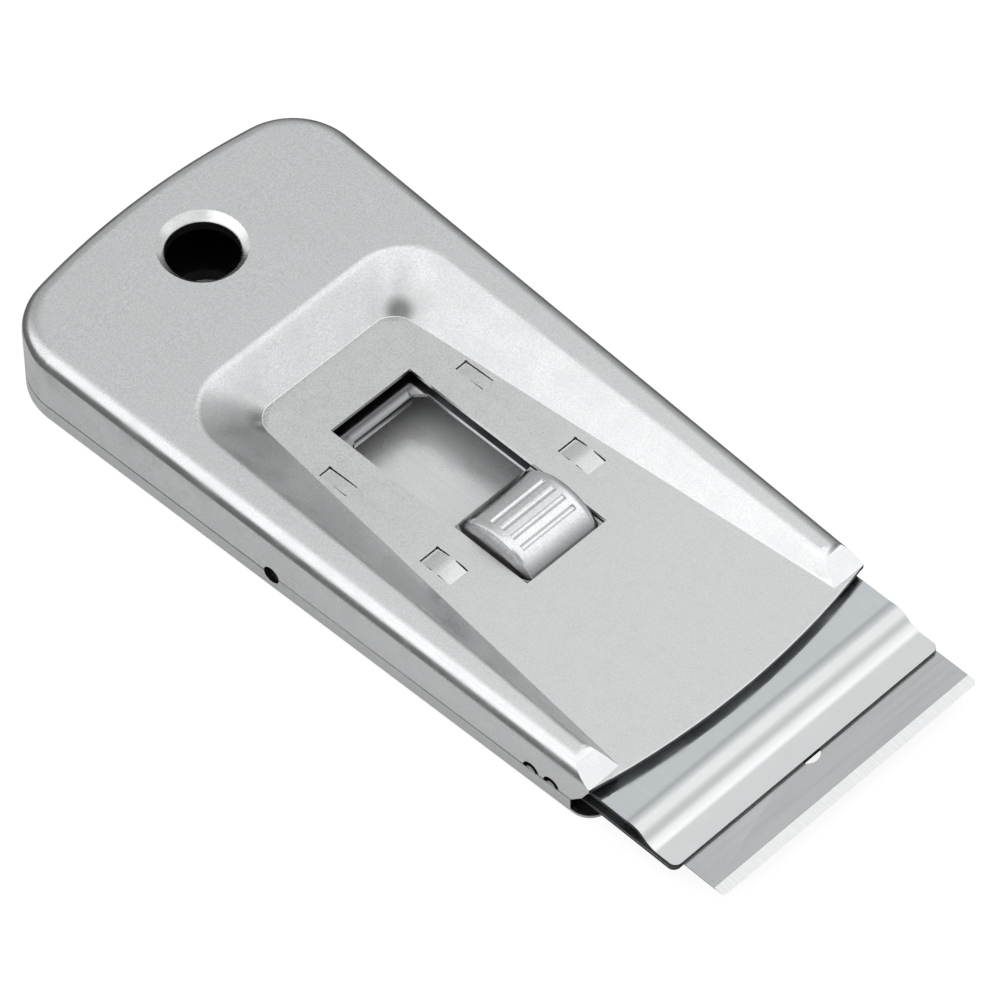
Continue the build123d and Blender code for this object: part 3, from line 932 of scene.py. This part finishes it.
@dataclass
class Studio:
    """White studio: floor, dark card, light tent and the camera."""

    azimuth: float = -44.76
    elevation: float = 51.65
    roll: float = -0.59
    distance: float = 849.5 * MM
    aside: float = 1.93 * MM
    above: float = 2.61 * MM
    clip_near: float = 50.0 * MM
    clip_far: float = 20000.0 * MM
    focal_pixels: float = 7616.8
    image_pixels: int = 1001
    sensor: float = 36.0
    floor_reach: float = 1500.0 * MM
    floor_drop: float = 0.02 * MM
    floor_tone: float = 0.66
    floor_glow: float = 0.88
    shadow_share: float = 0.2
    under_box: Span = (20.0 * MM, 44.0 * MM)
    under_middle_y: float = 8.0 * MM
    card_opening: Span = (30.5 * MM, 64.0 * MM)
    card_width: float = 500.0 * MM
    card_drop: float = 0.01 * MM
    card_tone: float = 0.13
    card_roughness: float = 0.9
    tent_tone: Triple = (0.985, 0.995, 1.0)
    tent_light: float = 1.22
    dip_side_span: Span = (-0.5, 0.0)
    rear_span: Span = (0.0, 0.45)
    rear_dip: float = 0.47
    far_rear_span: Span = (0.45, 0.75)
    far_rear_dip: float = 0.25
    front_span: Span = (-0.9, -0.4)
    front_share: float = 0.6
    right_span: Span = (0.55, 0.95)
    right_share: float = 0.42
    gap_way: Triple = (-0.437, -0.441, 0.784)
    gap_span: Span = (0.950, 0.985)
    gap_share: float = 0.25
    horizon_side_span: Span = (-0.3, 0.6)
    horizon_light: Span = (0.16, 0.8)
    horizon_span: Span = (0.0, 0.28)

    def build(self) -> None:
        """Builds the whole studio."""
        self.add_floor()
        self.add_card()
        self.add_sky()
        self.add_camera()
        bpy.context.scene.view_settings.view_transform = "Standard"

    def add_camera(self) -> None:
        """Places the camera as it stood for the photograph."""
        angles = (self.azimuth, self.elevation, self.roll)
        azimuth, elevation, roll = (math.radians(angle) for angle in angles)
        level = math.cos(elevation)
        back = Vector((math.sin(azimuth) * level, -math.cos(azimuth) * level, math.sin(elevation)))
        right = Vector((math.cos(azimuth), math.sin(azimuth), 0.0))
        up = back.cross(right)
        right, up = (
            right * math.cos(roll) + up * math.sin(roll),
            up * math.cos(roll) - right * math.sin(roll),
        )
        data = bpy.data.cameras.new("studio_camera")
        data.sensor_width = self.sensor
        data.lens = self.focal_pixels / self.image_pixels * self.sensor
        data.clip_start = self.clip_near
        data.clip_end = self.clip_far
        camera = bpy.data.objects.new("studio_camera", data)
        turn = Matrix((right, up, back)).transposed().to_4x4()
        place = right * self.aside + up * self.above + back * self.distance
        camera.matrix_world = Matrix.Translation(place) @ turn
        bpy.context.scene.collection.objects.link(camera)
        bpy.context.scene.camera = camera

    def add_floor(self) -> None:
        """Adds a pale floor that the camera sees as plain white beside the tool."""
        work = bmesh.new()
        bmesh.ops.create_grid(work, x_segments=4, y_segments=4, size=self.floor_reach)
        bmesh.ops.translate(work, verts=work.verts, vec=(0.0, 0.0, -self.floor_drop))
        floor = object_from(work, "studio_floor")
        material = bpy.data.materials.new("studio_white")
        material.use_nodes = True
        tree = material.node_tree
        tree.nodes.clear()
        output = add_node(tree, "ShaderNodeOutputMaterial")
        paint = add_node(tree, "ShaderNodeBsdfDiffuse")
        feed(tree, paint.inputs["Color"], (*grey(self.floor_tone), 1.0))
        faint = add_node(tree, "ShaderNodeBsdfDiffuse")
        feed(tree, faint.inputs["Color"], (*grey(self.shadow_share), 1.0))
        glow = add_node(tree, "ShaderNodeEmission")
        feed(tree, glow.inputs["Strength"], self.floor_glow)
        seen = add_node(tree, "ShaderNodeAddShader")
        feed(tree, seen.inputs[0], faint.outputs[0])
        feed(tree, seen.inputs[1], glow.outputs[0])
        camera_ray = add_node(tree, "ShaderNodeLightPath").outputs["Is Camera Ray"]
        mix = add_node(tree, "ShaderNodeMixShader")
        feed(tree, mix.inputs[0], math_node(tree, "MULTIPLY", camera_ray, self.outside_box(tree)))
        feed(tree, mix.inputs[1], paint.outputs[0])
        feed(tree, mix.inputs[2], seen.outputs[0])
        feed(tree, output.inputs["Surface"], mix.outputs[0])
        floor.data.materials.append(material)

    def outside_box(self, tree: bpy.types.NodeTree) -> bpy.types.NodeSocket:
        """Masks the floor that lies beside the tool and not under it.

        Args:
            tree: Node tree to add to.

        Returns:
            Socket with 1 beside the tool and 0 under it.
        """
        split = add_node(tree, "ShaderNodeSeparateXYZ")
        feed(tree, split.inputs[0], add_node(tree, "ShaderNodeTexCoord").outputs["Object"])
        half_width, half_length = self.under_box
        beyond = []
        for axis, middle, half in (("X", 0.0, half_width), ("Y", self.under_middle_y, half_length)):
            off = math_node(tree, "ABSOLUTE", math_node(tree, "SUBTRACT", split.outputs[axis], middle))
            beyond.append(math_node(tree, "GREATER_THAN", off, half))
        return math_node(tree, "MAXIMUM", *beyond)

    def add_card(self) -> None:
        """Adds a dark card on the floor round the tool, which only glossy rays see."""
        work = bmesh.new()
        bmesh.ops.create_grid(work, x_segments=1, y_segments=1, size=self.card_width)
        wide, long = (1.0 + opening / self.card_width for opening in self.card_opening)
        bmesh.ops.scale(work, verts=work.verts, vec=(wide, long, 1.0))
        ring = bmesh.ops.inset_region(
            work, faces=work.faces[:], thickness=self.card_width, use_even_offset=True, use_boundary=True,
        )
        middle = [face for face in work.faces if face not in ring["faces"]]
        bmesh.ops.delete(work, geom=middle, context="FACES")
        bmesh.ops.translate(work, verts=work.verts, vec=(0.0, 0.0, -self.card_drop))
        card = object_from(work, "studio_card")
        card.visible_camera = card.visible_diffuse = card.visible_shadow = False
        material = bpy.data.materials.new("studio_dark_card")
        material.use_nodes = True
        shader = next(node for node in material.node_tree.nodes if node.type == "BSDF_PRINCIPLED")
        shader.inputs["Base Color"].default_value = (*grey(self.card_tone), 1.0)
        shader.inputs["Roughness"].default_value = self.card_roughness
        card.data.materials.append(material)

    def add_sky(self) -> None:
        """Lights the scene by a bright tent, which the camera sees as plain white."""
        world = bpy.data.worlds.new("light_tent")
        world.use_nodes = True
        bpy.context.scene.world = world
        tree = world.node_tree
        tree.nodes.clear()
        output = add_node(tree, "ShaderNodeOutputWorld")
        tent = add_node(tree, "ShaderNodeBackground")
        feed(tree, tent.inputs["Color"], (*self.tent_tone, 1.0))
        feed(tree, tent.inputs["Strength"], self.tent_strength(tree))
        plain = add_node(tree, "ShaderNodeBackground")
        feed(tree, plain.inputs["Strength"], 1.0)
        feed(tree, plain.inputs["Color"], (*grey(1.0), 1.0))
        mix = add_node(tree, "ShaderNodeMixShader")
        feed(tree, mix.inputs[0], add_node(tree, "ShaderNodeLightPath").outputs["Is Camera Ray"])
        feed(tree, mix.inputs[1], tent.outputs[0])
        feed(tree, mix.inputs[2], plain.outputs[0])
        feed(tree, output.inputs["Surface"], mix.outputs[0])

    def tent_strength(self, tree: bpy.types.NodeTree) -> bpy.types.NodeSocket:
        """Darkens the tent to the rear, the front, the right, at the camera's gap and low down.

        Args:
            tree: The world's node tree.

        Returns:
            Socket with the strength of the light from each way.
        """
        way = add_node(tree, "ShaderNodeTexCoord").outputs["Generated"]
        split = add_node(tree, "ShaderNodeSeparateXYZ")
        feed(tree, split.inputs[0], way)
        x, y, z = split.outputs
        dip_share = smooth_step(tree, x, self.dip_side_span, (0.0, 1.0))
        rear = smooth_step(tree, y, self.rear_span, (0.0, self.rear_dip))
        far_rear = smooth_step(tree, y, self.far_rear_span, (0.0, self.far_rear_dip))
        dip = math_node(tree, "MULTIPLY", dip_share, math_node(tree, "ADD", rear, far_rear))
        strength = math_node(tree, "SUBTRACT", self.tent_light, dip)
        front = smooth_step(tree, y, self.front_span, (self.front_share, 1.0))
        right = smooth_step(tree, x, self.right_span, (1.0, self.right_share))
        facing = add_node(tree, "ShaderNodeVectorMath", operation="DOT_PRODUCT")
        feed(tree, facing.inputs[0], way)
        feed(tree, facing.inputs[1], self.gap_way)
        gap = smooth_step(tree, facing.outputs["Value"], self.gap_span, (1.0, self.gap_share))
        low = smooth_step(tree, x, self.horizon_side_span, self.horizon_light)
        rise = smooth_step(tree, z, self.horizon_span, (0.0, 1.0))
        dark, below = (math_node(tree, "SUBTRACT", 1.0, value) for value in (low, rise))
        horizon = math_node(tree, "SUBTRACT", 1.0, math_node(tree, "MULTIPLY", dark, below))
        for share in (front, right, gap, horizon):
            strength = math_node(tree, "MULTIPLY", strength, share)
        return strength


COVER_STEEL = SteelFinish(
    "cover_satin_steel", (0.77, 0.772, 0.775), (0.64, 0.642, 0.645), roughness=0.26, streak_share=0.12,
    grain_depth=0.0034 * MM,
    bands=(
        # Painted light: the cover grows lighter towards the front
        ToneBand(45.0 * MM, -36.0 * MM, grey(0.92), 0.45),
        # Painted shade at the foot of the wall, above the joint
        ToneBand(2.78 * MM, 2.62 * MM, grey(0.05), 0.85, Axis.UP),
    ),
    spots=(
        # Painted shade: dark spots standing for dark reflections at the panel's two rear corners
        ToneSpot((11.4 * MM, 24.6 * MM, 7.2 * MM), 5.0 * MM, grey(0.45), 0.45),
        ToneSpot((11.2 * MM, 24.4 * MM, 7.0 * MM), 2.4 * MM, grey(0.12), 0.8),
        ToneSpot((-12.2 * MM, 23.8 * MM, 7.4 * MM), 6.8 * MM, grey(0.40), 0.5),
        ToneSpot((-10.8 * MM, 24.0 * MM, 7.0 * MM), 2.4 * MM, grey(0.22), 0.6),
    ),
)
PANEL_STEEL = SteelFinish(
    "panel_satin_steel", grey(0.74), grey(0.50), roughness=0.34, streak_share=0.1, grain_depth=0.009 * MM,
    # Painted light: the panel grows lighter towards the front
    bands=(ToneBand(17.0 * MM, -20.0 * MM, grey(0.94), 0.45),),
)
# Painted highlight: near-white steel for the creases, the lip, the cut edges and the hole's flare
EDGE_HIGHLIGHT_STEEL = SteelFinish(
    "edge_painted_highlight_steel", grey(1.0), grey(0.86), roughness=0.3, grain_depth=0.003 * MM,
)
PAN_STEEL = SteelFinish(
    "pan_satin_steel", (0.74, 0.742, 0.745), (0.56, 0.562, 0.565), roughness=0.34,
    # Painted shade on the pan's top edge, in the joint under the cover
    bands=(ToneBand(2.38 * MM, 2.50 * MM, grey(0.05), 0.85, Axis.UP),),
)
REAR_SHADE = ToneBand(26.0 * MM, 32.0 * MM, (0.03, 0.03, 0.032))
INSIDE_STEEL = SteelFinish(
    "inside_dull_steel", (0.84, 0.85, 0.86), (0.70, 0.71, 0.72), roughness=0.5, wear=0.0,
    bands=(REAR_SHADE,),
)
FLOOR_STEEL = SteelFinish(
    "floor_dull_steel", grey(0.92), grey(0.82), roughness=0.3, wear=0.0, metallic=0.5,
    # Painted shade: besides the rear, the inside floor goes black towards the front, under the lip
    bands=(REAR_SHADE, ToneBand(-27.5 * MM, -31.5 * MM, grey(0.04))),
)
# Painted shade: near-black steel for the joint between the shells and the walls of the hanging hole
PAINTED_SHADE_STEEL = SteelFinish(
    "joint_and_hole_painted_shade_steel", (0.06, 0.06, 0.062), (0.02, 0.02, 0.021), roughness=0.6, wear=0.0, mottle_share=0.5,
)
# Sheared cut edges: rough as sheared steel, and near black from painted shade
SHEARED_SHADE_STEEL = SteelFinish(
    "sheared_painted_shade_steel", (0.11, 0.11, 0.112), (0.05, 0.05, 0.052), roughness=0.5, wear=0.0,
)
CARRIER_STEEL = SteelFinish(
    "carrier_rolled_steel", (0.68, 0.71, 0.725), (0.655, 0.685, 0.70), roughness=0.15, streak_share=0.5,
    speckle_scale=5200.0, grain_depth=0.0008 * MM, mottle_share=0.1,
    bands=(
        # Painted shade: the S-step's highlights toned down
        ToneBand(-42.5 * MM, -44.0 * MM, (0.66, 0.655, 0.65), 0.85),
        # Painted light: the front strip lighter
        ToneBand(-45.2 * MM, -46.9 * MM, grey(0.84)),
        # Painted shade: the rear crossbar goes dark in two steps under the window's rear edge
        ToneBand(13.0 * MM, 14.0 * MM, (0.40, 0.40, 0.405)),
        ToneBand(16.0 * MM, 16.7 * MM, (0.16, 0.16, 0.165)),
    ),
)
CLAMP_STEEL = SteelFinish(
    "clamp_rolled_steel", (0.62, 0.63, 0.64), (0.52, 0.53, 0.54), roughness=0.28, streak_share=0.6,
)
RIVET_STEEL = SteelFinish("rivet_steel", grey(0.64), grey(0.5), roughness=0.3)
BLADE_STEEL = SteelFinish(
    "blade_rolled_steel", (0.60, 0.60, 0.605), (0.55, 0.55, 0.555), roughness=0.25, streak_share=0.8,
    streak_length=1800.0, streak_scale=60.0, grain_depth=0.0006 * MM, mottle_share=0.1,
)
GROUND_STEEL = SteelFinish(
    "blade_ground_steel", grey(0.96), grey(0.87), roughness_spread=0.02, streak_share=0.9,
    streak_length=90.0, streak_scale=3200.0, grain_depth=0.0006 * MM, mottle_share=0.02,
)
BUTTON_STEEL = SteelFinish(
    "button_bright_steel", (0.86, 0.86, 0.865), (0.74, 0.74, 0.745), roughness=0.2,
    # Painted shade: the button darker towards its foot
    bands=(ToneBand(8.2 * MM, 6.4 * MM, (0.26, 0.26, 0.265), 0.85, Axis.UP),),
)
# Painted shade: the knob's end faces darker, and darker still towards their foot
KNOB_END_SHADE_STEEL = SteelFinish(
    "button_end_painted_shade_steel", (0.50, 0.50, 0.505), (0.34, 0.34, 0.345), roughness=0.35,
    bands=(ToneBand(8.0 * MM, 6.4 * MM, (0.16, 0.16, 0.165), 0.9, Axis.UP),),
)
SPRING_STEEL = SteelFinish("spring_strip_steel", (0.42, 0.42, 0.43), (0.34, 0.34, 0.35), roughness=0.25)

COVER_FINISHES = {
    CoverZone.OUTSIDE: COVER_STEEL, CoverZone.PANEL: PANEL_STEEL, CoverZone.INSIDE: INSIDE_STEEL,
    CoverZone.CUT_EDGE: SHEARED_SHADE_STEEL, CoverZone.PAINTED_SHADE: PAINTED_SHADE_STEEL, CoverZone.PAINTED_HIGHLIGHT: EDGE_HIGHLIGHT_STEEL,
}
PAN_FINISHES = {PanZone.OUTSIDE: PAN_STEEL, PanZone.INSIDE: FLOOR_STEEL, PanZone.PAINTED_SHADE: PAINTED_SHADE_STEEL}


def in_order(finishes: dict[IntEnum, SteelFinish]) -> tuple[SteelFinish, ...]:
    """Lists finishes in the order of their zones.

    Args:
        finishes: Finish of each zone.

    Returns:
        The finishes, so that each one's place is its zone.
    """
    return tuple(finishes[zone] for zone in sorted(finishes))


def main() -> None:
    """Builds the studio and every piece of the scraper in order."""
    logging.basicConfig(level=logging.INFO, format="%(name)s %(message)s")
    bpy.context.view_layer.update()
    build_grain_group()
    build_wear_group()
    Studio().build()
    pieces = [
        TopCover("top_cover", Body.HOUSING, "cover_steel", in_order(COVER_FINISHES)),
        BasePan("base_pan", Body.HOUSING, "pan_steel", in_order(PAN_FINISHES)),
        SlidingSheet("blade_carrier", Body.SLIDE, "carrier_steel", (CARRIER_STEEL, SHEARED_SHADE_STEEL)),
        SlidingSheet("clamp_plate", Body.SLIDE, "clamp_steel", (CLAMP_STEEL, SHEARED_SHADE_STEEL)),
        SheetPiece("clamp_rivets", Body.SLIDE, "rivet_steel", (RIVET_STEEL,)),
        GroundBlade("blade", Body.SLIDE, "blade_steel", (BLADE_STEEL, GROUND_STEEL)),
        SheetPiece("blade_peg", Body.SLIDE, "rivet_steel", (RIVET_STEEL,)),
        ThumbKnob("thumb_button", Body.BUTTON, "button_steel", (BUTTON_STEEL, KNOB_END_SHADE_STEEL)),
        SheetPiece("button_spring", Body.SLIDE, "spring_steel", (SPRING_STEEL,), edge_radius=0.02 * MM),
        SheetPiece("spring_rivets", Body.SLIDE, "rivet_steel", (RIVET_STEEL,), edge_radius=0.03 * MM),
    ]
    for piece in pieces:
        piece.build()


if __name__ == "__main__":
    main()
